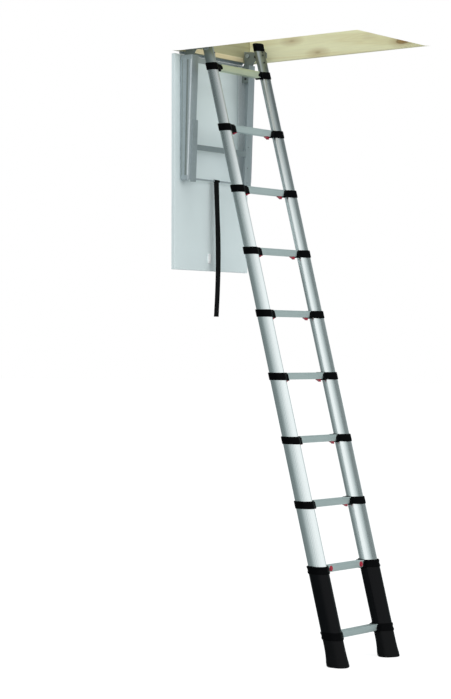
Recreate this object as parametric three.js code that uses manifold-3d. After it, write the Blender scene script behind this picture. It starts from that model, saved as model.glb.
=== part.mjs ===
import * as THREE from 'three';
import { mergeVertices } from 'three/addons/utils/BufferGeometryUtils.js';
import Module from 'manifold-3d';

// Telescoping loft ladder with its timber hatch casing. Millimetres, +Z up.
// Heights below are measured from the room floor; the whole group is then lowered so that the
// origin sits at the middle of the casing's hinge-side outer face.

// Hatch casing
const CEILING = 2735;
const BOARD_HEIGHT = 140;
const BOARD_THICKNESS = 22;
const OPENING_LENGTH = 974;
const OPENING_WIDTH = 550;
const JOINT_GAP = 0.3;

// Hatch door and its hinge
const DOOR_LENGTH = 984;
const DOOR_WIDTH = 558;
const DOOR_THICKNESS = 20;
const DOOR_HINGE = { x: 4, z: CEILING - 5.5 };
const DOOR_FROM_HINGE = { front: 3.5, below: 6 };
const DOOR_EDGE_RADIUS = 2;
const KNUCKLE_RADIUS = 4.5;
const LEAF_THICKNESS = 1.8;
const LEAF_SETBACK = 2;
const HINGE_LENGTH = 480;

// Cradle that carries the folded ladder in front of the door
const RAIL_OUTER_Y = 243;
const RAIL_WIDTH = 48;
const RAIL_BACK_X = 12;
const RAIL_FRONT_X = 55;
const RAIL_TAPER = 24;
const RAIL_WALL = 2.5;
const RAIL_BOTTOM = 2148;
const RAIL_TOP = 2716;
const STRIP = { inner: 187, outer: 224, thickness: 4, bottom: 2140, top: 2422 };
const CROSSBAR = { bottom: 2286, top: 2311 };
const PULL_ROD = { x: 33, z: 2157, radius: 4 };
const PLATE = { inner: 224, thickness: 4, weldDepth: 76, corner: 9 };
const PLATE_HEEL = { x: 29, bottom: 2732, top: 2776 };
const PLATE_CROWN = { back: 34, front: 64, z: 2783 };
const PLATE_ARM = { throat: 88, shoulder: 100, tip: 158, bottom: 2739, top: 2778 };
const WELD = 0.5;
const CUT_PAST = 1;

// Pivots
const CRADLE_PIVOT = { x: 48, z: 2765 };
const PIN_RADIUS = 6;
const PIN_CLEARANCE = 0.4;
const PIN_HEAD = { overhang: 3.5, thickness: 3, standoff: 1 };
const BRACKET = { standoff: 4, thickness: 4, flange: 36, below: 20, above: 24, nose: 17 };

// Pull strap
const STRAP_WIDTH = 36;
const STRAP_THICKNESS = 2.2;
const STRAP_BOTTOM = 1527;
const STRAP_BOW = 11;
const STRAP_EYE_CLEARANCE = 0.5;
const STRAP_DOUBLED_SHARE = 0.12;
const STRAP_PIECES = 12;

// Ladder
const LEAN = THREE.MathUtils.degToRad(14.6);
const FOOT_X = 855;
const STILE_SPACING = 391;
const RUNG_PITCH = 290;
const FIRST_RUNG = 137;
const SECTION_COUNT = 9;
const RUNG_COUNT = 10;
const SECTION_OVERLAP = 58;
const STUB_TOP = 2868;
const TILT_PIVOT_ALONG = 2850;
const TUBE_WALL = 1.6;
const TUBE_GAP = 0.6;
// Corners of the tube's outline from its wide outer side to its narrow inner side. across is the
// distance inwards from the tube's axis and halfDepth the distance to front and back of it.
const TUBE_CORNERS = {
  outer: { across: -38, halfDepth: 55.5, radius: 29, segments: 5 },
  middle: { across: 12.8, halfDepth: 33.8, radius: 62, segments: 2 },
  inner: { across: 38, halfDepth: 16.6, radius: 11, segments: 3 },
};
const INNER_RADIUS_STEP = 0.6;
const SLEEVE_OFFSET = 4.5;
const SLEEVE_BOTTOM = 122;

// Rungs, collars and their controls
const COLLAR_HEIGHT = 34;
const COLLAR_WALL = 3.5;
const COLLAR_GAP = 0.35;
const COLLAR_RIM = 1;
const COLLAR_EMBED = 2.5;
const BOSS = { end: 138, back: -27, front: 14, chamferAcross: 6, chamferDown: 7 };
const HOOK = { drop: 4, start: 9, full: 5 };
const RUNG = { height: 30, depth: 34, front: 11.5, radius: 3, seat: 8 };
const TAB = { length: 26, drop: 12, depth: 14, setback: 10, gap: 0.5, sideGap: 1, blunt: 3 };
const BUTTON_RUNG = 2;
const BUTTON = { radius: 10, proud: 4, fromBoss: 18, sunk: 4, clearance: 0.6, pocket: 8 };

// Tubes, collars and caps are cut level with the floor, so their ends slope across the stile.
const LEVEL_CUT = new THREE.Matrix4().makeShear(0, -Math.tan(LEAN), 0, 0, 0, 0);

// Boots: height above the floor at the stile's axis, growth of the outline, step forward
const BOOT_LEVELS = [
  { rise: 0, grow: 1, forward: -2 },
  { rise: 6, grow: 5, forward: -2 },
  { rise: 40, grow: 2, forward: -1 },
  { rise: 80, grow: 0, forward: 0 },
  { rise: SLEEVE_BOTTOM - JOINT_GAP, grow: 0, forward: 0 },
];

// Top caps
const CAP = { top: 2908, offset: 2.5, cheekBottom: 2824, cheekDepth: 26, cheekThickness: 2.4 };

const wasm = await Module();
wasm.setup();

const finishes = {
  pine: { color: 0xe3cf96, roughness: 0.6, metalness: 0 },
  white: { color: 0xd9e2e4, roughness: 0.45, metalness: 0 },
  steel: { color: 0x8d979d, roughness: 0.4, metalness: 0.8 },
  aluminium: { color: 0xc3cac8, roughness: 0.32, metalness: 0.9 },
  blackPlastic: { color: 0x101112, roughness: 0.5, metalness: 0 },
  blackRubber: { color: 0x0c0c0d, roughness: 0.8, metalness: 0 },
  webbing: { color: 0x0b0b0c, roughness: 0.9, metalness: 0 },
  red: { color: 0xc41628, roughness: 0.4, metalness: 0 },
};

function toManifold(geometry) {
  const bare = geometry.clone();
  bare.deleteAttribute('normal');
  bare.deleteAttribute('uv');
  const merged = mergeVertices(bare, 1e-4);
  const mesh = new wasm.Mesh({
    numProp: 3,
    vertProperties: new Float32Array(merged.attributes.position.array),
    triVerts: new Uint32Array(merged.index.array),
  });
  return new wasm.Manifold(mesh);
}

function fromManifold(solid) {
  const mesh = solid.getMesh();
  const geometry = new THREE.BufferGeometry();
  geometry.setAttribute('position', new THREE.BufferAttribute(mesh.vertProperties.slice(), 3));
  geometry.setIndex(new THREE.BufferAttribute(mesh.triVerts.slice(), 1));
  geometry.computeVertexNormals();
  return geometry;
}

function union(geometries) {
  return fromManifold(geometries.map(toManifold).reduce((whole, piece) => whole.add(piece)));
}

function subtract(geometry, cutters) {
  return fromManifold(cutters.map(toManifold).reduce((whole, cut) => whole.subtract(cut), toManifold(geometry)));
}

function named(parent, name, geometry, finish) {
  const mesh = new THREE.Mesh(geometry, new THREE.MeshStandardMaterial(finishes[finish]));
  mesh.name = name;
  parent.add(mesh);
  return mesh;
}

function box(x0, x1, y0, y1, z0, z1) {
  const geometry = new THREE.BoxGeometry(x1 - x0, y1 - y0, z1 - z0);
  return geometry.translate((x0 + x1) / 2, (y0 + y1) / 2, (z0 + z1) / 2);
}

// A cylinder along Y between two Y values.
function rodAlongY(x, z, radius, y0, y1, segments = 20) {
  const geometry = new THREE.CylinderGeometry(radius, radius, Math.abs(y1 - y0), segments);
  return geometry.translate(x, (y0 + y1) / 2, z);
}

// An outline drawn in X and Z, given thickness from y0 to y1.
function plateAlongY(points, y0, y1, holes = []) {
  const shape = new THREE.Shape(points.map(([x, z]) => new THREE.Vector2(x, z)));
  for (const hole of holes) {
    const ring = new THREE.Path();
    ring.absarc(hole.x, hole.z, hole.radius, 0, 2 * Math.PI, true);
    shape.holes.push(ring);
  }
  const low = Math.min(y0, y1);
  const geometry = new THREE.ExtrudeGeometry(shape, {
    depth: Math.abs(y1 - y0),
    bevelEnabled: false,
    curveSegments: 20,
  });
  return geometry.rotateX(Math.PI / 2).translate(0, low + Math.abs(y1 - y0), 0);
}

// Moves each edge of a convex, anticlockwise outline inwards (outwards when negative).
function insetCorners(corners, distance) {
  const edges = corners.map((from, i) => {
    const to = corners[(i + 1) % corners.length];
    const along = to.clone().sub(from).normalize();
    const inward = new THREE.Vector2(-along.y, along.x);
    return { point: from.clone().addScaledVector(inward, distance), along };
  });
  return edges.map((edge, i) => {
    const before = edges[(i + edges.length - 1) % edges.length];
    const gap = edge.point.clone().sub(before.point);
    const reach = gap.cross(edge.along) / before.along.cross(edge.along);
    return before.point.clone().addScaledVector(before.along, reach);
  });
}

// Rounds every corner of a convex outline with an arc, given a radius and segments for each.
function roundCorners(corners, roundings) {
  const points = [];
  corners.forEach((corner, i) => {
    const { radius, segments } = roundings[i];
    const before = corners[(i + corners.length - 1) % corners.length].clone().sub(corner).normalize();
    const after = corners[(i + 1) % corners.length].clone().sub(corner).normalize();
    const half = Math.acos(THREE.MathUtils.clamp(before.dot(after), -1, 1)) / 2;
    const centre = corner.clone().addScaledVector(before.clone().add(after).normalize(), radius / Math.sin(half));
    const start = corner.clone().addScaledVector(before, radius / Math.tan(half)).sub(centre);
    const turn = Math.PI - 2 * half;
    for (let k = 0; k <= segments; k += 1) {
      points.push(start.clone().rotateAround(new THREE.Vector2(), (turn * k) / segments).add(centre));
    }
  });
  return points;
}

function mirrored(points) {
  return points.map((p) => new THREE.Vector2(p.x, -p.y)).reverse();
}

// The stile outline at a given section: a rounded trapezoid with bowed sides, wide on the outside
// and narrow towards the rungs. It is drawn for the left stile; offset grows it outwards.
function stileOutline(section, side, offset = 0) {
  const { outer, middle, inner } = TUBE_CORNERS;
  const front = [outer, middle, inner].map((c) => new THREE.Vector2(c.halfDepth, c.across));
  const back = [inner, middle, outer].map((c) => new THREE.Vector2(-c.halfDepth, c.across));
  const steps = Math.max(section - 2, 0);
  const grow = offset + (section === 1 ? SLEEVE_OFFSET : 0);
  const shrink = steps * (TUBE_WALL + TUBE_GAP);
  const roundings = [
    { radius: outer.radius - shrink + grow, segments: outer.segments },
    { radius: middle.radius - shrink + grow, segments: middle.segments },
    { radius: inner.radius - steps * INNER_RADIUS_STEP + grow, segments: inner.segments },
  ];
  const points = roundCorners(
    insetCorners([...front, ...back], shrink - grow),
    [...roundings, ...[...roundings].reverse()],
  );
  return side === 'left' ? points : mirrored(points);
}

function sideSign(side) {
  return side === 'left' ? -1 : 1;
}

function rungHeight(rung) {
  return FIRST_RUNG + (rung - 1) * RUNG_PITCH;
}

// A ring of the stile outline between two distances along the ladder.
function stileRing(section, side, outerOffset, innerPoints, from, to) {
  const shape = new THREE.Shape(stileOutline(section, side, outerOffset));
  shape.holes.push(new THREE.Path([...innerPoints].reverse()));
  const geometry = new THREE.ExtrudeGeometry(shape, { depth: to - from, bevelEnabled: false });
  return geometry.applyMatrix4(LEVEL_CUT).translate(0, (sideSign(side) * STILE_SPACING) / 2, from);
}

function stileTube(section, side) {
  const wall = section === 1 ? SLEEVE_OFFSET - TUBE_GAP : TUBE_WALL;
  const bottom = section === 1 ? SLEEVE_BOTTOM : rungHeight(section) + COLLAR_HEIGHT / 2 - SECTION_OVERLAP;
  const top = section === SECTION_COUNT ? STUB_TOP : rungHeight(section + 1) + COLLAR_HEIGHT / 2 - COLLAR_RIM;
  return stileRing(section, side, 0, stileOutline(section, side, -wall), bottom, top);
}

function halfWidth(section, offset) {
  return Math.max(...stileOutline(section, 'left', offset).map((p) => p.y));
}

// An outline of distance inwards from the stile and rise, given depth along X.
function inwardBlock(outline, side, back, front) {
  const shape = new THREE.Shape(outline.map(([across, rise]) => new THREE.Vector2(across, rise)));
  const geometry = new THREE.ExtrudeGeometry(shape, { depth: front - back, bevelEnabled: false });
  geometry.rotateX(Math.PI / 2).rotateZ(Math.PI / 2).translate(back, 0, 0);
  if (side === 'right') {
    geometry.rotateZ(Math.PI).translate(back + front, 0, 0);
  }
  return geometry;
}

// The block on the collar that holds the rung's end, with a small hook at its lower corner.
// Every block ends at the same distance from the ladder's middle, so all the rungs are alike.
function rungBoss(section, side, height) {
  const half = COLLAR_HEIGHT / 2;
  const start = STILE_SPACING / 2 - halfWidth(section, COLLAR_WALL - COLLAR_EMBED);
  const reach = start - BOSS.end;
  const outline = [
    [0, -half],
    [reach - HOOK.start, -half],
    [reach - HOOK.full, -half - HOOK.drop],
    [reach, -half - HOOK.drop],
    [reach, half - BOSS.chamferDown],
    [reach - BOSS.chamferAcross, half],
    [0, half],
  ];
  const geometry = inwardBlock(outline, side, BOSS.back, BOSS.front);
  return geometry.applyMatrix4(LEVEL_CUT).translate(0, sideSign(side) * start, height);
}

// Turns rung-level geometry so that treads lie level when the ladder leans.
function levelled(geometry, height) {
  return geometry.rotateY(LEAN).translate(0, 0, height);
}

function rungBar(height) {
  const end = BOSS.end + RUNG.seat;
  const corners = [
    new THREE.Vector2(RUNG.front - RUNG.depth, -RUNG.height / 2),
    new THREE.Vector2(RUNG.front, -RUNG.height / 2),
    new THREE.Vector2(RUNG.front, RUNG.height / 2),
    new THREE.Vector2(RUNG.front - RUNG.depth, RUNG.height / 2),
  ];
  const roundings = corners.map(() => ({ radius: RUNG.radius, segments: 2 }));
  const outline = roundCorners(corners, roundings).map((p) => [p.x, p.y]);
  return levelled(plateAlongY(outline, -end, end), height);
}

function buttonCylinder(side, radius, from, to) {
  const geometry = new THREE.CylinderGeometry(radius, radius, to - from, 20);
  geometry.rotateZ(Math.PI / 2);
  const across = sideSign(side) * (BOSS.end - BUTTON.fromBoss);
  geometry.translate((from + to) / 2, across, 0);
  return levelled(geometry, rungHeight(BUTTON_RUNG));
}

// One rung with the collar at each end. It is fixed round the top of its section, except the
// lowest rung, which is part-way up section 1, and the highest, part-way up the top section.
function step(rung) {
  const section = Math.max(rung - 1, 1);
  const height = rungHeight(rung);
  const parts = [rungBar(height)];
  for (const side of ['left', 'right']) {
    const bore = stileOutline(section, side, COLLAR_GAP);
    const half = COLLAR_HEIGHT / 2;
    parts.push(stileRing(section, side, COLLAR_WALL, bore, height - half, height + half));
    parts.push(rungBoss(section, side, height));
  }
  const whole = union(parts);
  if (rung !== BUTTON_RUNG) {
    return whole;
  }
  const pockets = ['left', 'right'].map((side) => buttonCylinder(
    side,
    BUTTON.radius + BUTTON.clearance,
    RUNG.front - BUTTON.pocket,
    RUNG.front + CUT_PAST,
  ));
  return subtract(whole, pockets);
}

function releaseButton(side) {
  return buttonCylinder(side, BUTTON.radius, RUNG.front - BUTTON.sunk, RUNG.front + BUTTON.proud);
}

// A wedge under the rung's end, beside the hook.
function releaseTab(rung, side) {
  const outline = [
    [0, 0],
    [TAB.length, 0],
    [TAB.length, -TAB.blunt],
    [TAB.blunt, -TAB.drop],
    [0, -TAB.drop],
  ];
  const front = RUNG.front - TAB.setback;
  const geometry = inwardBlock(outline.reverse(), side, front - TAB.depth, front);
  const across = sideSign(side) * (BOSS.end - TAB.sideGap);
  geometry.translate(0, across, -RUNG.height / 2 - TAB.gap);
  return levelled(geometry, rungHeight(rung));
}

// Joins rings of equal point count into a closed solid.
function loft(rings) {
  const count = rings[0].length;
  const positions = rings.flat().flatMap((p) => [p.x, p.y, p.z]);
  const indices = [];
  for (let r = 0; r + 1 < rings.length; r += 1) {
    for (let k = 0; k < count; k += 1) {
      const a = r * count + k;
      const b = r * count + ((k + 1) % count);
      indices.push(a, b, b + count, a, b + count, a + count);
    }
  }
  for (let k = 1; k + 1 < count; k += 1) {
    indices.push(0, k + 1, k);
    const top = (rings.length - 1) * count;
    indices.push(top, top + k, top + k + 1);
  }
  const geometry = new THREE.BufferGeometry();
  geometry.setAttribute('position', new THREE.Float32BufferAttribute(positions, 3));
  geometry.setIndex(indices);
  geometry.computeVertexNormals();
  return geometry;
}

// A rubber boot that flares onto a level sole.
function foot(side) {
  const rings = BOOT_LEVELS.map(({ rise, grow, forward }) => stileOutline(1, side, grow).map((p) => (
    new THREE.Vector3(p.x + forward, p.y + (sideSign(side) * STILE_SPACING) / 2, rise)
  )));
  return loft(rings).applyMatrix4(LEVEL_CUT);
}

// The cap on the stub's top, with the cheek and pin that hang the ladder on the cradle plate.
function topCap(side) {
  const sign = sideSign(side);
  const shape = new THREE.Shape(stileOutline(SECTION_COUNT, side, CAP.offset));
  const lid = new THREE.ExtrudeGeometry(shape, { depth: CAP.top - STUB_TOP - JOINT_GAP, bevelEnabled: false });
  lid.applyMatrix4(LEVEL_CUT).translate(0, (sign * STILE_SPACING) / 2, STUB_TOP + JOINT_GAP);
  const face = STILE_SPACING / 2 + halfWidth(SECTION_COUNT, 0) + COLLAR_GAP;
  const half = CAP.cheekDepth / 2;
  const [y0, y1] = [sign * face, sign * (face + CAP.cheekThickness)].sort((a, b) => a - b);
  const cheek = box(-half, half, y0, y1, CAP.cheekBottom, CAP.top);
  const plateOuter = PLATE.inner + PLATE.thickness;
  const headInner = plateOuter + PIN_HEAD.standoff;
  const headOuter = headInner + PIN_HEAD.thickness;
  const headRadius = PIN_RADIUS + PIN_HEAD.overhang;
  const pin = rodAlongY(0, TILT_PIVOT_ALONG, PIN_RADIUS, sign * (face + WELD), sign * (headInner + WELD));
  const head = rodAlongY(0, TILT_PIVOT_ALONG, headRadius, sign * headInner, sign * headOuter);
  return union([lid, cheek, pin, head]);
}

function buildLadder(parent) {
  for (let section = 1; section <= SECTION_COUNT; section += 1) {
    for (const side of ['left', 'right']) {
      const finish = section === 1 ? 'blackPlastic' : 'aluminium';
      named(parent, `stile_${side}_${section}`, stileTube(section, side), finish);
    }
  }
  for (let rung = 1; rung <= RUNG_COUNT; rung += 1) {
    named(parent, `step_${rung}`, step(rung), 'aluminium');
  }
  for (const side of ['left', 'right']) {
    named(parent, `release_button_${side}`, releaseButton(side), 'red');
    for (let rung = 3; rung < RUNG_COUNT; rung += 1) {
      named(parent, `release_tab_${side}_${rung}`, releaseTab(rung, side), 'red');
    }
    named(parent, `foot_${side}`, foot(side), 'blackRubber');
    named(parent, `top_cap_${side}`, topCap(side), 'blackPlastic');
  }
}

function buildCasing(parent) {
  const length = OPENING_LENGTH + 2 * BOARD_THICKNESS;
  const halfInner = OPENING_WIDTH / 2;
  const halfOuter = halfInner + BOARD_THICKNESS;
  const top = CEILING + BOARD_HEIGHT;
  named(parent, 'casing_hinge_board', box(0, BOARD_THICKNESS, -halfOuter, halfOuter, CEILING, top), 'pine');
  named(parent, 'casing_far_board', box(length - BOARD_THICKNESS, length, -halfOuter, halfOuter, CEILING, top), 'pine');
  const from = BOARD_THICKNESS + JOINT_GAP;
  const to = length - BOARD_THICKNESS - JOINT_GAP;
  named(parent, 'casing_left_board', box(from, to, -halfOuter, -halfInner, CEILING, top), 'pine');
  named(parent, 'casing_right_board', box(from, to, halfInner, halfOuter, CEILING, top), 'pine');
}

function buildDoor(parent) {
  const front = DOOR_HINGE.x + DOOR_FROM_HINGE.front;
  const top = DOOR_HINGE.z - DOOR_FROM_HINGE.below;
  const halfWide = DOOR_WIDTH / 2;
  const corners = [
    new THREE.Vector2(front - DOOR_THICKNESS, top - DOOR_LENGTH),
    new THREE.Vector2(front, top - DOOR_LENGTH),
    new THREE.Vector2(front, top),
    new THREE.Vector2(front - DOOR_THICKNESS, top),
  ];
  const roundings = corners.map(() => ({ radius: DOOR_EDGE_RADIUS, segments: 2 }));
  const outline = roundCorners(corners, roundings).map((p) => [p.x, p.y]);
  named(parent, 'hatch_door', plateAlongY(outline, -halfWide, halfWide), 'white');

  const half = HINGE_LENGTH / 2;
  const knuckle = rodAlongY(DOOR_HINGE.x, DOOR_HINGE.z, KNUCKLE_RADIUS, -half, half, 16);
  const leafTop = CEILING - JOINT_GAP;
  const leafEnd = BOARD_THICKNESS - LEAF_SETBACK;
  const leaf = box(DOOR_HINGE.x, leafEnd, -half, half, leafTop - LEAF_THICKNESS, leafTop);
  named(parent, 'door_hinge', union([knuckle, leaf]), 'steel');
}

// The rails deepen towards the top: X of their front face at a height.
function railFront(z) {
  return RAIL_FRONT_X + (RAIL_TAPER * (z - RAIL_BOTTOM)) / (RAIL_TOP - RAIL_BOTTOM);
}

// A flat bar along the rails' front face, from a back offset to a front offset.
function frontBar(bottom, top, back, front, y0, y1) {
  const outline = [
    [railFront(bottom) + back, bottom],
    [railFront(bottom) + front, bottom],
    [railFront(top) + front, top],
    [railFront(top) + back, top],
  ];
  return plateAlongY(outline, y0, y1);
}

// A channel open towards the middle, with its flat strip and the pivot plate inside its top.
function cradleSide(side, tiltPivot) {
  const sign = sideSign(side);
  const webInner = sign * (RAIL_OUTER_Y - RAIL_WALL);
  const webOuter = sign * RAIL_OUTER_Y;
  const lip = sign * (RAIL_OUTER_Y - RAIL_WIDTH);
  const web = plateAlongY([
    [RAIL_BACK_X, RAIL_BOTTOM],
    [railFront(RAIL_BOTTOM), RAIL_BOTTOM],
    [railFront(RAIL_TOP), RAIL_TOP],
    [RAIL_BACK_X, RAIL_TOP],
  ], webInner, webOuter);
  const backFlange = plateAlongY([
    [RAIL_BACK_X, RAIL_BOTTOM],
    [RAIL_BACK_X + RAIL_WALL, RAIL_BOTTOM],
    [RAIL_BACK_X + RAIL_WALL, RAIL_TOP],
    [RAIL_BACK_X, RAIL_TOP],
  ], lip, webOuter);
  const frontFlange = frontBar(RAIL_BOTTOM, RAIL_TOP, -RAIL_WALL, 0, lip, webOuter);
  const strip = frontBar(
    STRIP.bottom,
    STRIP.top,
    -WELD,
    STRIP.thickness - WELD,
    sign * STRIP.inner,
    sign * STRIP.outer,
  );

  const back = RAIL_BACK_X + RAIL_WALL - WELD;
  const weldBottom = RAIL_TOP - PLATE.weldDepth;
  const faceInset = RAIL_WALL - WELD;
  const { throat, shoulder, tip } = PLATE_ARM;
  const outline = [
    [back, weldBottom],
    [railFront(weldBottom) - faceInset, weldBottom],
    [railFront(RAIL_TOP) - faceInset, RAIL_TOP],
    [throat, PLATE_ARM.bottom],
    [tip - PLATE.corner, PLATE_ARM.bottom],
    [tip, PLATE_ARM.bottom + PLATE.corner],
    [tip, PLATE_ARM.top - PLATE.corner],
    [tip - PLATE.corner, PLATE_ARM.top],
    [shoulder, PLATE_ARM.top],
    [PLATE_CROWN.front, PLATE_CROWN.z],
    [PLATE_CROWN.back, PLATE_CROWN.z],
    [PLATE_HEEL.x, PLATE_HEEL.top],
    [PLATE_HEEL.x, PLATE_HEEL.bottom],
    [back, RAIL_TOP - PLATE.corner],
  ];
  const radius = PIN_RADIUS + PIN_CLEARANCE;
  const holes = [{ ...CRADLE_PIVOT, radius }, { ...tiltPivot, radius }];
  const plate = plateAlongY(outline, sign * PLATE.inner, sign * (PLATE.inner + PLATE.thickness), holes);
  return [web, backFlange, frontFlange, strip, plate];
}

function buildCradle(parent, tiltPivot) {
  const end = STRIP.inner + 1;
  const crossbar = frontBar(CROSSBAR.bottom, CROSSBAR.top, -WELD, STRIP.thickness - WELD, -end, end);
  const reach = RAIL_OUTER_Y - RAIL_WALL + WELD;
  const rod = rodAlongY(PULL_ROD.x, PULL_ROD.z, PULL_ROD.radius, -reach, reach, 16);
  const parts = [...cradleSide('left', tiltPivot), ...cradleSide('right', tiltPivot), crossbar, rod];
  named(parent, 'cradle_frame', union(parts), 'steel');

  for (const side of ['left', 'right']) {
    named(parent, `pivot_bracket_${side}`, pivotBracket(side), 'steel');
  }
}

// An angle bracket on the hinge board, carrying the cradle's pivot pin.
function pivotBracket(side) {
  const sign = sideSign(side);
  const { x, z } = CRADLE_PIVOT;
  const face = BOARD_THICKNESS + JOINT_GAP;
  const earInner = PLATE.inner + PLATE.thickness + BRACKET.standoff;
  const bottom = z - BRACKET.below;
  const top = z + BRACKET.above;
  const ear = [
    [face, bottom],
    [x + PIN_RADIUS, bottom + 2],
    [x + BRACKET.nose, z - BRACKET.nose / 2],
    [x + BRACKET.nose, z + BRACKET.nose / 2],
    [x + PIN_RADIUS, z + BRACKET.nose],
    [face, top],
  ];
  const [y0, y1] = [sign * earInner, sign * (earInner + BRACKET.flange)].sort((a, b) => a - b);
  const headOuter = PLATE.inner - PIN_HEAD.thickness;
  const headInner = headOuter - PIN_HEAD.thickness;
  return union([
    plateAlongY(ear, sign * earInner, sign * (earInner + BRACKET.thickness)),
    box(face, face + BRACKET.thickness, y0, y1, bottom, top),
    rodAlongY(x, z, PIN_RADIUS, sign * (earInner + WELD), sign * (headOuter - WELD)),
    rodAlongY(x, z, PIN_RADIUS + PIN_HEAD.overhang, sign * headOuter, sign * headInner),
  ]);
}

// Webbing looped over the pull rod, then hanging with a slight bow.
function buildStrap(parent) {
  const inner = PULL_ROD.radius + STRAP_EYE_CLEARANCE;
  const outer = inner + STRAP_THICKNESS;
  const half = STRAP_WIDTH / 2;
  const loop = rodAlongY(PULL_ROD.x, PULL_ROD.z, outer, -half, half);
  const eye = rodAlongY(PULL_ROD.x, PULL_ROD.z, inner, -half - CUT_PAST, half + CUT_PAST);
  const top = PULL_ROD.z - inner - 1;
  const front = [];
  const back = [];
  for (let k = 0; k <= STRAP_PIECES; k += 1) {
    const t = k / STRAP_PIECES;
    const z = top + (STRAP_BOTTOM - top) * t;
    const middle = PULL_ROD.x + STRAP_BOW * Math.sin(Math.PI * t ** 1.2);
    const thick = t < STRAP_DOUBLED_SHARE ? STRAP_THICKNESS : STRAP_THICKNESS / 2;
    front.push([middle + thick, z]);
    back.unshift([middle - thick, z]);
  }
  const tail = plateAlongY([...back, ...front], -half, half);
  const ring = subtract(loop, [eye]);
  named(parent, 'pull_strap', union([ring, tail]), 'webbing');
}

const group = new THREE.Group();
group.name = 'telescoping_loft_ladder';
group.position.z = -(CEILING + BOARD_HEIGHT / 2);

const ladder = new THREE.Group();
ladder.name = 'ladder';
ladder.position.x = FOOT_X;
ladder.rotation.y = -LEAN;
group.add(ladder);

const tiltPivot = {
  x: FOOT_X - Math.sin(LEAN) * TILT_PIVOT_ALONG,
  z: Math.cos(LEAN) * TILT_PIVOT_ALONG,
};

buildLadder(ladder);
buildCasing(group);
buildDoor(group);
buildCradle(group, tiltPivot);
buildStrap(group);

export default group;
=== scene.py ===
"""Looks for the telescoping loft ladder, in metres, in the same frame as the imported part."""

import math

import bmesh
import bpy
from mathutils import Matrix, Vector


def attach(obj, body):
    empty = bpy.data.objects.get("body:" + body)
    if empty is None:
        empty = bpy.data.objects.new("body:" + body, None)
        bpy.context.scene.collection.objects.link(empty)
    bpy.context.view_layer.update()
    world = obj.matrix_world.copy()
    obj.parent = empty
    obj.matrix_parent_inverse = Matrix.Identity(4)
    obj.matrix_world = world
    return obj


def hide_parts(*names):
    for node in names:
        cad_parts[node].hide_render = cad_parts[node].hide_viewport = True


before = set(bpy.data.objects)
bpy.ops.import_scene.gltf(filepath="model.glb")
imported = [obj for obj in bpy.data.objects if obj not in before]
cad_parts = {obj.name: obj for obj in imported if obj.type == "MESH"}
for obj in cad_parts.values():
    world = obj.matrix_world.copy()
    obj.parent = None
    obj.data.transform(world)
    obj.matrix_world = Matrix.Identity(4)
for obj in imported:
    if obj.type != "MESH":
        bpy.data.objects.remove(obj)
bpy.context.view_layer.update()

MM = 0.001
SIDES = {"left": -1, "right": 1}

# ---- dimensions, millimetres
FLOOR = 2805.0  # the floor's distance below the frame's origin
CEILING = 2735.0
BOARD_HEIGHT = 140.0
BOARD = 22.0
BOARD_GAP = 0.3
OPENING_LENGTH = 974.0
OPENING_HALF = 275.0
CASING_LENGTH = OPENING_LENGTH + 2 * BOARD
CASING_HALF = OPENING_HALF + BOARD
BATTEN = {"short": 62.0, "thick": 7.0, "low": 1.0, "high": 22.0}

LEAN = math.radians(14.6)
FOOT_X = 855.0
SPACING = 391.0
PITCH = 290.0
FIRST = 137.0
TOP_SECTION = 9
TOP_RUNG = 10
STUB_TOP = 2868.0
OVERLAP = 58.0
WALL = 1.6
GAP = 0.6
SLEEVE = 4.5
SLEEVE_BOTTOM = 122.0
# corners of the stile section: (inwards from its axis, to front and back of it, radius)
OUTER_CORNER = (-38.0, 55.5, 29.0)
MIDDLE_CORNER = (12.8, 33.8, 62.0)
INNER_CORNER = (38.0, 16.6, 22.0)
INNER_RADIUS_STEP = 1.2
COLLAR = {"height": 34.0, "wall": 3.5, "gap": 0.35, "embed": 2.5}
TOP_BOSS_END = 160.0
BOSS = {"end": 138.0, "back": -27.0, "front": 14.0, "edge": 1.6, "flat": -14.0}
HOOK = {"drop": 4.0, "start": 9.0, "full": 5.0}
RUNG = {"height": 30.0, "depth": 34.0, "front": 11.5, "seat": 8.0, "ribs": 8, "ribs_from": 4.0}
PRONG_PROUD = 1.2
TAB = {"length": 26.0, "drop": 12.0, "depth": 14.0, "setback": 10.0, "gap": 0.5, "side": 1.0, "blunt": 3.0}
BUTTON = {
    "rung": 2, "radius": 10.0, "proud": 4.0, "sunk": 4.0, "pocket": 8.2, "clear": 0.5,
    "from_boss": 18.0,
}
CAP_TOP = 2908.0
CHEEK = {"low": 2824.0, "below_top": 6.0, "half": 13.0, "thick": 2.4}
TILT_ALONG = 2850.0
STUB_SCREWS = ((-3, 2842), (2, 2856), (-3, 2806))

DOOR = {"front": 7.5, "thick": 20.0, "top": 2723.5, "long": 984.0, "half": 279.0}
CATCH = {"low": 34.0, "height": 45.0, "half": 9.0, "y": -23.0}
HINGE = {"x": 4.0, "z": 2729.5, "radius": 4.5, "half": 240.0, "knuckles": 12, "gap": 0.4}
RAIL = {
    "outer": 243.0, "width": 48.0, "back": 12.0, "front": 55.0, "taper": 24.0, "wall": 2.5,
    "low": 2148.0, "high": 2716.0,
}
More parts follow.
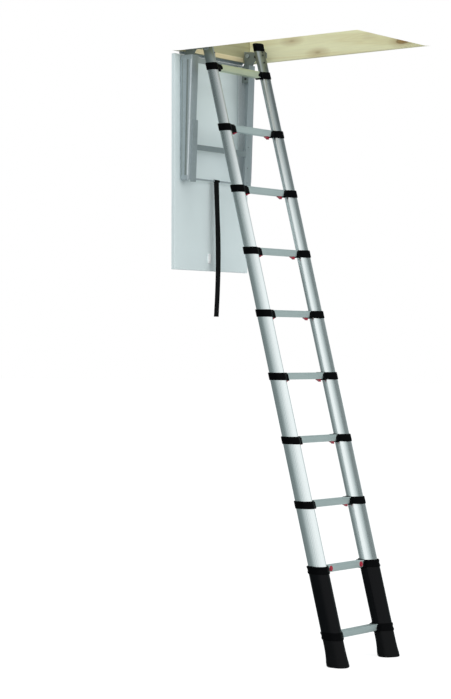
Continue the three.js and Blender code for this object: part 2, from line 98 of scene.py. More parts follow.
# ribs rolled into the rail's outer web: (share of its depth, half width, look); the first two are drawn
# darker, and the last, pale rib is a painted highlight line
RIBS = ((0.16, 2.0, "dull_steel"), (0.64, 5.5, "dull_steel"), (0.92, 3.5, "painted_light_steel"))
STRIP = {"inner": 187.0, "outer": 224.0, "thick": 4.0, "low": 2140.0, "high": 2422.0, "rivets_y": 205.0}
RIVETS = (STRIP["low"] + 22, STRIP["low"] + 92, STRIP["high"] - 92, STRIP["high"] - 22)
BAR_SUNK = 0.5
CROSSBAR = {"low": 2286.0, "high": 2311.0}
ROD = {"x": 33.0, "z": 2157.0, "radius": 4.0}
PLATE = {"inner": 224.0, "thick": 4.0, "foot": 76.0}
PLATE_OUTER = PLATE["inner"] + PLATE["thick"]
PLATE_BOLTS = ((35, RAIL["high"] - 58), (35, RAIL["high"] - 26), (92, 2758))
PIVOT = {"x": 48.0, "z": 2765.0, "radius": 6.0, "head": 9.5}
EAR = {"gap": 4.0, "thick": 4.0, "flange": 36.0, "low": 20.0, "high": 24.0}
STRAP = {"width": 36.0, "thick": 2.2, "bottom": 1527.0, "bow": 11.0, "double": 0.115}
STITCHES = {"rows": 3, "first": 0.045, "step": 0.025, "across": 9}
# screw and rivet heads, as (radius, height) from the rim to the crown
HEADS = {
    "stub": ((3.6, 0.7), (2.6, 1.6), (0, 1.9)),
    "rivet": ((2.6, 0.3), (2.0, 0.8), (0, 1.0)),
    "bracket": ((4.2, 0.6), (3.2, 1.4), (0, 1.7)),
}


# ---- materials
def opaque(colour):
    """A colour with its alpha; a socket stays as it is."""
    return colour if isinstance(colour, bpy.types.NodeSocket) else (*colour, 1)


def scaled(colour, share):
    return tuple(min(1.0, c * share) for c in colour)


def blended(a, b, share):
    return tuple(p * (1 - share) + q * share for p, q in zip(a, b))


class Graph:
    """A node tree being built, with a method for each kind of node that is used often."""

    def __init__(self, tree):
        self.tree = tree
        tree.nodes.clear()

    def add(self, kind, inputs=(), **settings):
        """A node with its settings. An input given as a socket is linked, and otherwise set."""
        made = self.tree.nodes.new("ShaderNode" + kind)
        for name, value in settings.items():
            setattr(made, name, value)
        for key, value in dict(inputs).items():
            if isinstance(value, bpy.types.NodeSocket):
                self.tree.links.new(value, made.inputs[key])
            else:
                made.inputs[key].default_value = value
        return made

    def calc(self, operation, *values):
        return self.add("Math", enumerate(values), operation=operation).outputs[0]

    def coords(self, scale=(1, 1, 1), lean=0.0):
        """Object coordinates, turned upright from a lean and then stretched by scale."""
        place = self.add("TexCoord").outputs["Object"]
        upright = self.add("Mapping", {0: place, "Rotation": (0, lean, 0)}).outputs[0]
        return self.add("Mapping", {0: upright, "Scale": scale}).outputs[0]

    def axes(self, vector):
        return self.add("SeparateXYZ", {0: vector}).outputs

    def shifted(self, vector, by):
        return self.add("VectorMath", {0: vector, 1: by}, operation="ADD").outputs[0]

    def noise(self, vector, scale, detail=3.0, rough=0.5, distortion=0.0):
        inputs = {"Vector": vector, "Scale": scale, "Detail": detail, "Roughness": rough}
        return self.add("TexNoise", {**inputs, "Distortion": distortion}).outputs[0]

    def ramp(self, factor, stops):
        """A colour for each (position, grey or colour) stop."""
        made = self.add("ValToRGB", {0: factor})
        elements = made.color_ramp.elements
        while len(elements) > 1:
            elements.remove(elements[-1])
        for i, (at, value) in enumerate(stops):
            stop = elements.new(at) if i else elements[0]
            stop.position = at
            stop.color = opaque(value if hasattr(value, "__len__") else (value,) * 3)
        return made.outputs[0]

    def spread(self, factor, low, high, at=(0.3, 0.7)):
        ends = {"From Min": at[0], "From Max": at[1], "To Min": low, "To Max": high}
        return self.add("MapRange", {0: factor, **ends}).outputs[0]

    def mixed(self, factor, a, b, kind="MIX"):
        """Two colours mixed. A Mix node's colours are its inputs 6 and 7 and its output 2."""
        inputs = {0: factor, 6: opaque(a), 7: opaque(b)}
        return self.add("Mix", inputs, data_type="RGBA", blend_type=kind).outputs[2]

    def bump(self, height, strength, distance, normal=None):
        inputs = {"Height": height, "Strength": strength, "Distance": distance}
        if normal is not None:
            inputs["Normal"] = normal
        return self.add("Bump", inputs).outputs[0]

    def edge_wear(self, radius=0.0012):
        """1 along worn edges, 0 on flats."""
        bevel = self.add("Bevel", {"Radius": radius}, samples=4).outputs[0]
        normal = self.add("NewGeometry").outputs["Normal"]
        dot = self.add("VectorMath", {0: bevel, 1: normal}, operation="DOT_PRODUCT")
        return self.spread(dot.outputs["Value"], 1.0, 0.0, (0.80, 0.985))

    def rubbed(self, at, colour, worn, radius, scale, most):
        """A colour rubbed to another along the edges, in patches."""
        patches = self.spread(self.noise(at, scale, 3.0), 0.0, most)
        return self.mixed(self.calc("MULTIPLY", self.edge_wear(radius), patches), colour, worn)

    def bowed(self, across_bow, depth_bow):
        """The slight bow of a drawn stile's faces, as a height that falls away from its middle."""
        x, y, _ = self.axes(self.coords(lean=LEAN))
        centre_x = (FOOT_X * math.cos(LEAN) - FLOOR * math.sin(LEAN)) * MM
        centre_y = (SPACING / 2 + OUTER_CORNER[0]) * MM

        def bulge(value, centre, bow):
            off = self.calc("SUBTRACT", value, centre)
            return self.calc("MULTIPLY", self.calc("MULTIPLY", off, off), -bow)

        across = bulge(self.calc("ABSOLUTE", y), centre_y, across_bow)
        return self.bump(self.calc("ADD", bulge(x, centre_x, depth_bow), across), 1.0, 1.0)

    def principled(self, inputs):
        self.add("OutputMaterial", {0: self.add("BsdfPrincipled", inputs).outputs[0]})


def fresh(name):
    mat = bpy.data.materials.new(name)
    mat.use_nodes = True
    return mat, Graph(mat.node_tree)


def metal(
    name, base, low, high, grain, rough=0.30, tint=None, strength=0.06, lean=0.0, bow=None,
    metallic=1.0, height_shade=None,
):
    """Drawn or rolled metal: fine streaks along one axis, soft cloudy variation."""
    mat, graph = fresh(name)
    streaks = graph.noise(graph.coords(grain, lean), 4.0, 4.0, 0.62)
    cloud = graph.noise(graph.coords((6, 6, 3)), 2.4, 3.0)
    colour = graph.ramp(streaks, [(0.30, scaled(base, low)), (0.70, scaled(base, high))])
    if tint:
        colour = graph.mixed(graph.spread(cloud, 0.0, 0.45), colour, tint)
    # painted shade: the colour is darkened by a ramp against height
    if height_shade:
        rise = graph.spread(graph.axes(graph.coords())["Z"], 0.0, 1.0, (-1.2, 0.0))
        colour = graph.mixed(1.0, colour, graph.ramp(rise, height_shade), "MULTIPLY")
    fine = graph.spread(streaks, rough - 0.05, rough + 0.05)
    under = graph.bowed(*bow) if bow else None
    graph.principled({
        "Base Color": colour,
        "Metallic": metallic,
        "Roughness": graph.calc("ADD", fine, graph.spread(cloud, -0.03, 0.04)),
        "Normal": graph.bump(streaks, strength, 0.0002, under),
    })
    return mat


def plate_steel(name, base, low=0.90, high=1.08, rough=0.44, tint=None, metallic=0.5):
    """Sheet steel with a broad, dull spangle."""
    return metal(name, base, low, high, (40, 40, 22), rough, tint, metallic=metallic)


def plastic(name, base, rough, grain, strength, ior, worn):
    """Moulded plastic with a fine spark-eroded grain and slightly scuffed edges."""
    mat, graph = fresh(name)
    at = graph.coords()
    cloud = graph.noise(at, 22, 4.0)
    colour = graph.ramp(cloud, [(0.3, scaled(base, 0.85)), (0.75, scaled(base, 1.2))])
    graph.principled({
        "Base Color": graph.rubbed(at, colour, worn, 0.0012, 160, 0.7),
        "Roughness": graph.spread(cloud, rough - 0.05, rough + 0.07),
        "IOR": ior,
        "Normal": graph.bump(graph.noise(at, grain, 2.0), strength, 0.0002),
    })
    return mat


def stretched(along, low, high):
    """A scale that is low along one axis and high along the others."""
    return tuple(low if axis == along else high for axis in "xyz")


def pine(name, along="x", light=(0.97, 0.95, 0.64), dark=(0.84, 0.76, 0.44), seed=0.0, knots=True):
    """Planed pine: growth bands stretched along the board, fibres and a few knots."""
    mat, graph = fresh(name)
    at = graph.shifted(graph.coords(stretched(along, 1.6, 26)), (seed, seed * 1.7, seed * 0.6))
    warp = graph.noise(at, 0.55, 2.0, 0.5, 0.4)
    bands = graph.calc("SINE", graph.calc("MULTIPLY", warp, 30.0))
    grain = graph.spread(bands, 0.0, 1.0, (-1.0, 1.0))
    stops = ((0.0, 0.0), (0.60, 0.25), (0.92, 0.60), (1.0, 0.40))
    colour = graph.ramp(grain, [(at, blended(light, dark, share)) for at, share in stops])
    fibre = graph.noise(graph.coords(stretched(along, 12, 700)), 1.0, 3.0, 0.6)
    colour = graph.mixed(1.0, colour, graph.ramp(fibre, [(0.25, 0.90), (0.6, 1.0)]), "MULTIPLY")
    if knots:
        at = graph.coords(stretched(along, 3.4, 9.0))
        at = graph.shifted(at, (seed * 3.1, seed * 2.3, seed))
        far = graph.add("TexVoronoi", {"Vector": at, "Scale": 1.0}).outputs["Distance"]
        knot = graph.ramp(far, [(0.0, 1.0), (0.085, 0.9), (0.16, 0.35), (0.30, 0.0)])
        colour = graph.mixed(knot, colour, (0.36, 0.20, 0.065))
        ring = graph.ramp(far, [(0.09, 0.0), (0.12, 0.55), (0.15, 0.0)])
        colour = graph.mixed(ring, colour, (0.20, 0.10, 0.03))
    graph.principled({
        "Base Color": colour,
        "Roughness": graph.spread(grain, 0.58, 0.44, (0.0, 1.0)),
        "Specular IOR Level": 0.35,
        "Normal": graph.bump(fibre, 0.10, 0.0004),
    })
    return mat


def paint(name, base):
    """Satin paint on board, with the roller's faint texture and slight tone drift."""
    mat, graph = fresh(name)
    at = graph.coords()
    drift = graph.noise(graph.coords((1, 1, 0.6)), 2.2, 3.0)
    colour = graph.ramp(drift, [(0.3, scaled(base, 0.965)), (0.7, scaled(base, 1.03))])
    graph.principled({
        "Base Color": graph.rubbed(at, colour, (0.60, 0.62, 0.60), 0.002, 60, 0.35),
        "Roughness": graph.spread(drift, 0.54, 0.62),
        "Normal": graph.bump(graph.noise(at, 420, 2.0), 0.05, 0.0004),
    })
    return mat


def webbing(name):
    """Black woven strap: ribs across the width, chevron twill and matt sheen."""
    mat, graph = fresh(name)
    _, y, z = graph.axes(graph.coords())

    def turns(value, pitch):
        return graph.calc("MULTIPLY", value, math.tau / pitch)

    twill = graph.calc("ADD", turns(z, 0.0032), turns(graph.calc("ABSOLUTE", y), 0.0026))
    weave = graph.calc("ADD", graph.calc("SINE", twill), graph.calc("SINE", turns(y, 0.0018)))
    height = graph.spread(weave, 0.0, 1.0, (-2.0, 2.0))
    graph.principled({
        "Base Color": graph.ramp(height, [(0.1, (0.0012, 0.0012, 0.0015)), (0.8, (0.0045, 0.0048, 0.0055))]),
        "Roughness": 0.78,
        "IOR": 1.18,
        "Sheen Weight": 0.01,
        "Normal": graph.bump(height, 0.55, 0.0006),
    })
    return mat


# painted shade: the upper, inner tubes are darkened for the dark hatch they reflect, by tone against height,
# from 1.2 m below the origin to it
UPPER_SHADE = [(0.0, 1.0), (0.30, 0.92), (0.52, 0.76), (0.72, 0.60), (1.0, 0.50)]
ALONG_STILE = {"grain": (260, 260, 1.2), "lean": LEAN}
ALONG_RUNG = {"grain": (260, 1.2, 260), "rough": 0.42, "strength": 0.05}

# the looks in each material slot
LOOKS = {
    "aluminium": {
        "tube": metal(
            "satin_drawn_aluminium", (0.80, 0.86, 0.86), 0.93, 1.05, rough=0.28, bow=(6.5, 6.5),
            height_shade=UPPER_SHADE, **ALONG_STILE,
        ),
        # painted shade: the stub is a darker copy of the tube metal, for the dark hatch it reflects
        "stub": metal(
            "stub_aluminium_painted_shade", (0.30, 0.34, 0.33), 0.92, 1.06, rough=0.36, bow=(7.0, 5.0),
            **ALONG_STILE,
        ),
        "rung": metal("anodised_rung", (0.68, 0.77, 0.76), 0.94, 1.05, **ALONG_RUNG),
        # painted reflection: the top rung is tinted yellow for the pine casing it reflects
        "rung_top": metal("rung_painted_pine_reflection", (0.72, 0.77, 0.58), 0.94, 1.05, **ALONG_RUNG),
        "bright": metal("bright_steel", (0.72, 0.75, 0.76), 0.92, 1.06, (90, 90, 90), 0.26),
    },
    "steel": {
        "dark_metal": metal("blackened_screws", (0.05, 0.05, 0.055), 0.85, 1.2, (60, 60, 60), 0.40),
        "steel": plate_steel("zinc_plated_steel", (0.42, 0.48, 0.50), tint=(0.36, 0.43, 0.46)),
        # painted light: a paler, less metallic steel for the rail's back flange and its last rib
        "painted_light_steel": plate_steel(
            "galvanised_steel_painted_light", (0.66, 0.72, 0.74), 0.92, 1.06, 0.46, metallic=0.15,
        ),
        "bar_steel": plate_steel("cradle_bar_steel", (0.28, 0.335, 0.345)),
        "strip_steel": plate_steel("cradle_strip_steel", (0.35, 0.41, 0.425)),
        "dull_steel": plate_steel("dull_steel", (0.24, 0.28, 0.27)),
    },
    "black_plastic": {
        "sleeve": plastic(
            "black_sleeve_plastic", (0.0016, 0.0020, 0.0027), 0.30, 700, 0.05, 1.20,
            (0.020, 0.020, 0.022),
        ),
        "black": plastic(
            "black_collar_plastic", (0.0016, 0.0018, 0.0022), 0.42, 900, 0.10, 1.10,
            (0.012, 0.016, 0.017),
        ),
    },
    "rubber": {
        "rubber": plastic(
            "black_foot_rubber", (0.003, 0.0033, 0.0037), 0.52, 620, 0.20, 1.20,
            (0.014, 0.018, 0.019),
        ),
    },
    "red_plastic": {
        "red": plastic(
            "red_control_plastic", (0.44, 0.016, 0.045), 0.30, 800, 0.05, 1.45, (0.70, 0.12, 0.13),
        ),
    },
    "painted_board": {
        "paint": paint("painted_hatch_board", (0.765, 0.865, 0.875)),
        "catch": plastic(
            "white_catch_plastic", (0.80, 0.83, 0.83), 0.35, 800, 0.04, 1.45, (0.7, 0.72, 0.72),
        ),
    },
    "webbing": {"webbing": webbing("black_webbing")},
    "pine": {
        # painted shade: the hinge board is a darker copy of the pine, for the shade it lies in
        "pine_hinge": pine("pine_hinge_board_painted_shade", "y", (0.44, 0.43, 0.26), (0.33, 0.30, 0.17), 1.3, False),
        "pine_far": pine("pine_far_board", "y", seed=4.1),
        "pine_left": pine("pine_left_board", "x", seed=2.2),
        "pine_right": pine("pine_right_board", "x", seed=6.7),
        "pine_batten": pine("pine_batten", "y", (0.84, 0.77, 0.52), (0.70, 0.56, 0.30), 8.5, False),
    },
}
MATERIALS = {look: mat for looks in LOOKS.values() for look, mat in looks.items()}


# ---- mesh helpers
LADDER = Matrix.Translation((FOOT_X * MM, 0, -FLOOR * MM)) @ Matrix.Rotation(-LEAN, 4, "Y")
HOUSE = Matrix.Translation((0, 0, -FLOOR * MM))
UNLEAN = Matrix.Rotation(LEAN, 3, "Y")


def rung_height(rung):
    return FIRST + (rung - 1) * PITCH


def solid_mesh(name, part):
    """A mesh in metres from (verts, faces) in millimetres, with its normals outwards."""
    verts, faces = part
    mesh = bpy.data.meshes.new(name)
    mesh.from_pydata([tuple(c * MM for c in v) for v in verts], [], faces)
    work = bmesh.new()
    work.from_mesh(mesh)
    bmesh.ops.remove_doubles(work, verts=work.verts, dist=1e-6)
    bmesh.ops.recalc_face_normals(work, faces=work.faces)
    work.to_mesh(mesh)
    work.free()
    return mesh


def linked(name, data):
    made = bpy.data.objects.new(name, data)
    bpy.context.scene.collection.objects.link(made)
    return made


def make(name, part, body, look, nodes=(), place=HOUSE, angle=34, bevel=0.0, segments=2):
    """A piece from (verts, faces) in millimetres, riding on a body."""
    mesh = solid_mesh(name, part)
    mesh.shade_smooth()
    mesh.set_sharp_from_angle(angle=math.radians(angle))
    mesh.transform(place)
    piece = linked(name, mesh)
    mesh.materials.append(MATERIALS[look])
    if bevel:
        rounding = piece.modifiers.new("rounding", "BEVEL")
        rounding.width = bevel * MM
        rounding.segments = segments
        rounding.limit_method = "ANGLE"
        rounding.angle_limit = math.radians(32)
        rounding.harden_normals = True
    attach(piece, body)
    if nodes:
        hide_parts(*nodes)
    return piece


def join_parts(*parts):
    """Several (verts, faces) as one."""
    verts, faces = [], []
    for v, f in parts:
        start = len(verts)
        verts += v
        faces += [tuple(i + start for i in face) for face in f]
    return verts, faces


def on_rung(part, height, across=0.0):
    """A part made level round a rung's axis, put on the leaning ladder."""
    verts, faces = part
    turned_verts = [UNLEAN @ Vector(v) for v in verts]
    return [(p.x, p.y + across, p.z + height) for p in turned_verts], faces


def on_side(part, sign):
    """A part made for the right side, mirrored where the side is the left."""
    verts, faces = part
    return [(x, y * sign, z) for x, y, z in verts], faces


def block(x0, x1, y0, y1, z0, z1):
    (x0, x1), (y0, y1), (z0, z1) = sorted((x0, x1)), sorted((y0, y1)), sorted((z0, z1))
    verts = [(x, y, z) for x in (x0, x1) for y in (y0, y1) for z in (z0, z1)]
    faces = [(0, 1, 3, 2), (4, 6, 7, 5), (0, 4, 5, 1), (2, 3, 7, 6), (0, 2, 6, 4), (1, 5, 7, 3)]
    return verts, faces


def rings(loops, closed=False):
    """Skin between loops of equal point count, capped at both ends or closed on itself."""
    n, count = len(loops[0]), len(loops)
    verts = [p for loop in loops for p in loop]
    faces = []
    for r in range(count if closed else count - 1):
        a, b = r * n, ((r + 1) % count) * n
        for k in range(n):
            faces.append((a + k, a + (k + 1) % n, b + (k + 1) % n, b + k))
    if not closed:
        faces.append(tuple(range(n))[::-1])
        faces.append(tuple((count - 1) * n + k for k in range(n)))
    return verts, faces


def extrude_y(outline, y0, y1):
    """An outline in X and Z given thickness along Y."""
    return rings([[(x, y, z) for x, z in outline] for y in sorted((y0, y1))])


def turned(profile, axis, centre=(0, 0, 0), segments=32, closed=False):
    """Turns (radius, distance) points round an axis: 'x', 'y' or 'z'."""
    loops = []
    for radius, along in profile:
        loop = []
        for k in range(segments):
            a = math.tau * k / segments
            c, s = max(radius, 1e-3) * math.cos(a), max(radius, 1e-3) * math.sin(a)
            p = {"x": (along, c, s), "y": (s, along, c), "z": (c, s, along)}[axis]
            loop.append(tuple(p[i] + centre[i] for i in range(3)))
        loops.append(loop)
    return rings(loops, closed)


def rounded(corners, radii, steps=6, share=0.48):
    """Rounds an outline's corners by one radius or one each, within a share of each edge."""
    out = []
    n = len(corners)
    for i, corner in enumerate(corners):
        c = Vector(corner)
        before = Vector(corners[i - 1]) - c
        after = Vector(corners[(i + 1) % n]) - c
        radius = radii[i] if hasattr(radii, "__len__") else radii
        angle = before.angle(after)
        if radius <= 0 or abs(angle - math.pi) < 1e-3:
            out.append(tuple(c))
            continue
        reach = min(radius / math.tan(angle / 2), before.length * share, after.length * share)
        radius = reach * math.tan(angle / 2)
        centre = c + (before.normalized() + after.normalized()).normalized() * (radius / math.sin(angle / 2))
        a = c + before.normalized() * reach - centre
        b = c + after.normalized() * reach - centre
        sweep = math.atan2(a.x * b.y - a.y * b.x, a.dot(b))
        start = math.atan2(a.y, a.x)
        for k in range(steps + 1):
            t = start + sweep * k / steps
            out.append((centre.x + radius * math.cos(t), centre.y + radius * math.sin(t)))
    return out


def rectangle(a, b, low, high):
    return [(a, low), (b, low), (b, high), (a, high)]


def barrel(radius, a, b, chamfer):
    """The profile of a rod with chamfered ends, to be turned."""
    rim = radius - chamfer
    return [(0, a), (rim, a), (radius, a + chamfer), (radius, b - chamfer), (rim, b), (0, b)]


def screw_head(kind, face, y, z):
    """A domed head on a face that looks along X."""
    dome = [(radius, face + height) for radius, height in HEADS[kind]]
    return turned([(0, face - 0.5), (dome[0][0], face - 0.5), *dome], "x", (0, y, z), 20)


def headed_pin(start, head, way, rim, hollow, x, z):
    """A pin along Y with a hollowed head at its far end, which lies up (1) or down (-1) in Y."""
    radius, wide = PIVOT["radius"], PIVOT["head"]
    side, crown = head + 2 * way, head + 3 * way
    profile = [
        (0, start), (radius, start), (radius, head), (wide, head), (wide, side), (rim, crown),
        (hollow, crown), (hollow - 0.6, side), (0, side),
    ]
    return turned(profile, "y", (x, 0, z), 32)


# ---- stiles
def inset_corners(corners, distance):
    """Moves each edge of a convex, anticlockwise outline inwards."""
    edges = []
    for i, corner in enumerate(corners):
        a, b = Vector(corner), Vector(corners[(i + 1) % len(corners)])
        along = (b - a).normalized()
        edges.append((a + Vector((-along.y, along.x)) * distance, along))
    out = []
    for i, (point, along) in enumerate(edges):
        before, its_along = edges[i - 1]
        gap = point - before
        reach = (gap.x * along.y - gap.y * along.x) / (its_along.x * along.y - its_along.y * along.x)
        out.append(tuple(before + its_along * reach))
    return out


def stile_outline(section, side, offset=0.0):
    """The stile's bowed trapezoid at a section, round its own axis, as (u, v) points."""
    count = max(section - 2, 0)
    grow = offset + (SLEEVE if section == 1 else 0)
    shrink = count * (WALL + GAP)
    corners = [OUTER_CORNER, MIDDLE_CORNER, INNER_CORNER]
    front = [(half, across) for across, half, _ in corners]
    back = [(-half, across) for across, half, _ in corners[::-1]]
    radii = [c[2] - shrink + grow for c in corners[:2]]
    radii.append(INNER_CORNER[2] - count * INNER_RADIUS_STEP + grow)
    points = rounded(inset_corners(front + back, shrink - grow), radii + radii[::-1], 8, 0.85)
    if side == "right":
        points = [(u, -v) for u, v in points][::-1]
    return points


def half_width(section, offset):
    return max(v for _, v in stile_outline(section, "left", offset))


def half_depth(section):
    """How far the middle of the stile's front face stands from its axis."""
    near = sorted(stile_outline(section, "left"), key=lambda p: (abs(p[1]), -p[0]))
    return max(u for u, _ in near[:4])


def loop_at(points, side, s):
    """A loop of outline points at s along the stile, cut level with the floor."""
    y = SIDES[side] * SPACING / 2
    return [(u, v + y, s - math.tan(LEAN) * u) for u, v in points]


def stile_loops(section, side, profile):
    """Loops round the stile: profile is (offset from the section's outline, s)."""
    return [loop_at(stile_outline(section, side, offset), side, s) for offset, s in profile]


def tube_solid(section, side, wall, low, high):
    return rings(stile_loops(section, side, [
        (-0.4, low), (0.0, low + 0.4), (0.0, high - 0.4), (-0.4, high),
        (-wall + 0.3, high), (-wall, high - 0.3), (-wall, low + 0.3), (-wall + 0.3, low),
    ]), closed=True)


def build_stiles():
    """A tube for each section; the top one's stub, above its collar, is drawn darker as painted shade."""
    top_of_collar = COLLAR["height"] / 2
    for section in range(1, TOP_SECTION + 1):
        sleeve = section == 1
        wall = SLEEVE - GAP if sleeve else WALL
        low = SLEEVE_BOTTOM if sleeve else rung_height(section) + top_of_collar - OVERLAP
        high = rung_height(section + 1) + top_of_collar - 1
        body = f"section_{section}"
        for side in SIDES:
            node = f"stile_{side}_{section}"
            tube = tube_solid(section, side, wall, low, high)
            make(f"{node}_tube", tube, body, "sleeve" if sleeve else "tube", [node], LADDER)
            if section == TOP_SECTION:
                stub = tube_solid(section, side, wall, high + 0.3, STUB_TOP)
                make(f"stub_{side}", stub, body, "stub", [node], LADDER)


# ---- collars, rungs, controls
def collar_ring(section, side, height):
    """The collar's ring round the stile: two rounded beads round the black sleeve, else plain."""
    half, wall, gap = COLLAR["height"] / 2, COLLAR["wall"], COLLAR["gap"]
    if section == 1:
        bead = [(1.6, 0), (2.8, 0.8), (3.5, 3.2), (3.5, 9.0), (2.9, 11.0), (1.7, 12.2)]
        outer = [(o, -half + z) for o, z in bead] + [(o, half - z) for o, z in bead[::-1]]
    else:
        outer = [
            (2.2, -half), (3.0, -half + 0.5), (wall, -half + 1.6), (wall, half - 2.6),
            (3.1, half - 1.1), (2.2, half - 0.3), (1.4, half),
        ]
    if section < TOP_SECTION and height > rung_height(1):
        lip = -(WALL + GAP - gap)
        inner = [(lip + 0.35, half), (lip, half - 0.35), (lip, half - 0.7), (gap, half - 0.8)]
    else:
        inner = [(gap + 0.3, half), (gap, half - 0.3)]
    inner += [(gap, -half + 0.4), (gap + 0.4, -half)]
    profile = [(offset, height + rise) for offset, rise in outer + inner]
    return rings(stile_loops(section, side, profile), closed=True)


def boss_solid(section, side, height, end):
    """The collar's arm along the rung, with a hook under its end."""
    half = COLLAR["height"] / 2
    start = SPACING / 2 - half_width(section, COLLAR["wall"] - COLLAR["embed"])
    reach = start - end
    outline = [
        (0, -half + 0.2), (reach - HOOK["start"], -half + 0.2),
        (reach - HOOK["full"], -half - HOOK["drop"]), (reach, -half - HOOK["drop"]),
        (reach, half - 7), (reach - 6, half - 0.2), (0, half - 0.2),
    ]
    points = [Vector(p) for p in rounded(outline, [0, 2.5, 2.0, 1.6, 4.0, 5.0, 0], 5)]
    middle = sum(points, Vector((0, 0))) / len(points)
    small = [middle + (p - middle) * 0.92 for p in points]
    loops = []
    # the root reaches further out at the back, where the collar's side slopes away
    for u, ring, root in (
        (BOSS["back"], small, 9.0), (BOSS["back"] + BOSS["edge"], points, 8.0),
        (BOSS["flat"], points, 0.5), (BOSS["front"] - BOSS["edge"], points, 0.0),
        (BOSS["front"], small, 0.5),
    ):
        level = height - math.tan(LEAN) * u
        loops.append([
            (u, SIDES[side] * (start - across + (root if across <= 1.5 else 0)), level + rise)
            for across, rise in ring
        ])
    return rings(loops)


def rung_outline():
    """Box rung: plain front with a shadow groove, ribbed tread on top."""
    front, back = RUNG["front"], RUNG["front"] - RUNG["depth"]
    half = RUNG["height"] / 2
    points = [(back, -half + 2.5), (back + 0.7, -half + 0.7), (back + 2.5, -half)]
    points += [(front - 2.5, -half), (front - 0.7, -half + 0.7), (front, -half + 2.5)]
    groove = front - 0.9
    points += [(front, half - 5.4), (groove, half - 4.9), (groove, half - 4.2), (front, half - 3.7)]
    points += [(front, half - 1.8), (front - 0.5, half - 0.5), (front - 1.8, half)]
    first, last = front - RUNG["ribs_from"], back + RUNG["ribs_from"]
    step = (first - last) / RUNG["ribs"]
    for k in range(RUNG["ribs"]):
        x = first - step * k
        for share, drop in ((0, 0), (0.25, 1.1), (0.6, 1.1), (0.85, 0)):
            points.append((x - step * share, half - drop))
    points += [(back + 1.8, half), (back + 0.5, half - 0.5), (back, half - 1.8)]
    return points


def build_steps():
    end = BOSS["end"] + RUNG["seat"]
    for rung in range(1, TOP_RUNG + 1):
        section = max(rung - 1, 1)
        height = rung_height(rung)
        body, node = f"section_{section}", f"step_{rung}"
        top = rung == TOP_RUNG
        for side in SIDES:
            boss = boss_solid(section, side, height, TOP_BOSS_END if top else BOSS["end"])
            collar = join_parts(collar_ring(section, side, height), boss)
            make(f"collar_{side}_{rung}", collar, body, "black", [node], LADDER, 40)
            if top:
                build_prong(side, height, body)
        bar = on_rung(extrude_y(rung_outline(), -end, end), height)
        piece = make(f"rung_{rung}", bar, body, "rung_top" if top else "rung", [node], LADDER, 30)
        if rung == BUTTON["rung"]:
            cut_pockets(piece, height)


def button_across(side):
    return SIDES[side] * (BOSS["end"] - BUTTON["from_boss"])


def cut_pockets(rung, height):
    """The round pockets in the rung's front face that the release buttons press into."""
    radius = BUTTON["radius"] + BUTTON["clear"]
    ends = (RUNG["front"] - BUTTON["pocket"], RUNG["front"] + 2.0)
    for side in SIDES:
        hole = turned([(radius, x) for x in ends], "x", segments=48)
        cutter = linked("pocket", solid_mesh("pocket", on_rung(hole, height, button_across(side))))
        cutter.data.transform(LADDER)
        cut = rung.modifiers.new("pocket", "BOOLEAN")
        cut.operation = "DIFFERENCE"
        cut.solver = "EXACT"
        cut.object = cutter
        graph = bpy.context.evaluated_depsgraph_get()
        result = bpy.data.meshes.new_from_object(rung.evaluated_get(graph))
        rung.modifiers.remove(cut)
        rung.data = result
        bpy.data.objects.remove(cutter)


def build_prong(side, height, body):
    """The fixed top rung's end clip: a black prong tapering along the rung, over a pale stop."""
    front = RUNG["front"] + PRONG_PROUD
    boss, end = TOP_BOSS_END, BOSS["end"]
    for name, look, face, corners in (
        ("clip", "black", front, [(boss + 2, 14), (end + 2, 4), (end, -7), (boss + 2, -13)]),
        ("stop", "bright", front - 0.5, [(boss + 1, -9), (end + 10, -8), (end + 10, -14), (boss + 1, -14)]),
    ):
        outline = rounded(corners, 1.6, 4)
        plate = rings([[(x, SIDES[side] * y, z) for y, z in outline] for x in (front - 5, face)])
        make(f"rung_{name}_{side}", on_rung(plate, height), body, look, [], LADDER, 40)


def build_controls():
    """A release button and its bezel on each side, and the release tabs."""
    height = rung_height(BUTTON["rung"])
    front, r = RUNG["front"], BUTTON["radius"]
    back, crown = front - BUTTON["sunk"], front + BUTTON["proud"]
    button = turned([
        (0, back), (r, back), (r, crown - 1.4), (r - 0.5, crown - 0.5), (r - 1.6, crown),
        (r - 2.8, crown - 0.2), (r - 4.4, crown - 0.9), (r - 7.0, crown - 1.3), (0, crown - 1.4),
    ], "x", segments=40)
    bezel = turned([
        (r + 0.7, front - 3.0), (r + 2.6, front - 3.0), (r + 2.6, front + 0.8),
        (r + 1.9, front + 1.5), (r + 0.9, front + 1.3),
    ], "x", segments=40, closed=True)
    for side in SIDES:
        for name, part, body, nodes in (
            ("push_button", button, f"button_{side}", [f"release_button_{side}"]),
            ("button_bezel", bezel, "section_1", []),
        ):
            placed = on_rung(part, height, button_across(side))
            make(f"{name}_{side}", placed, body, "red", nodes, LADDER, 40)
        for rung in range(3, TOP_RUNG):
            build_tab(rung, side)


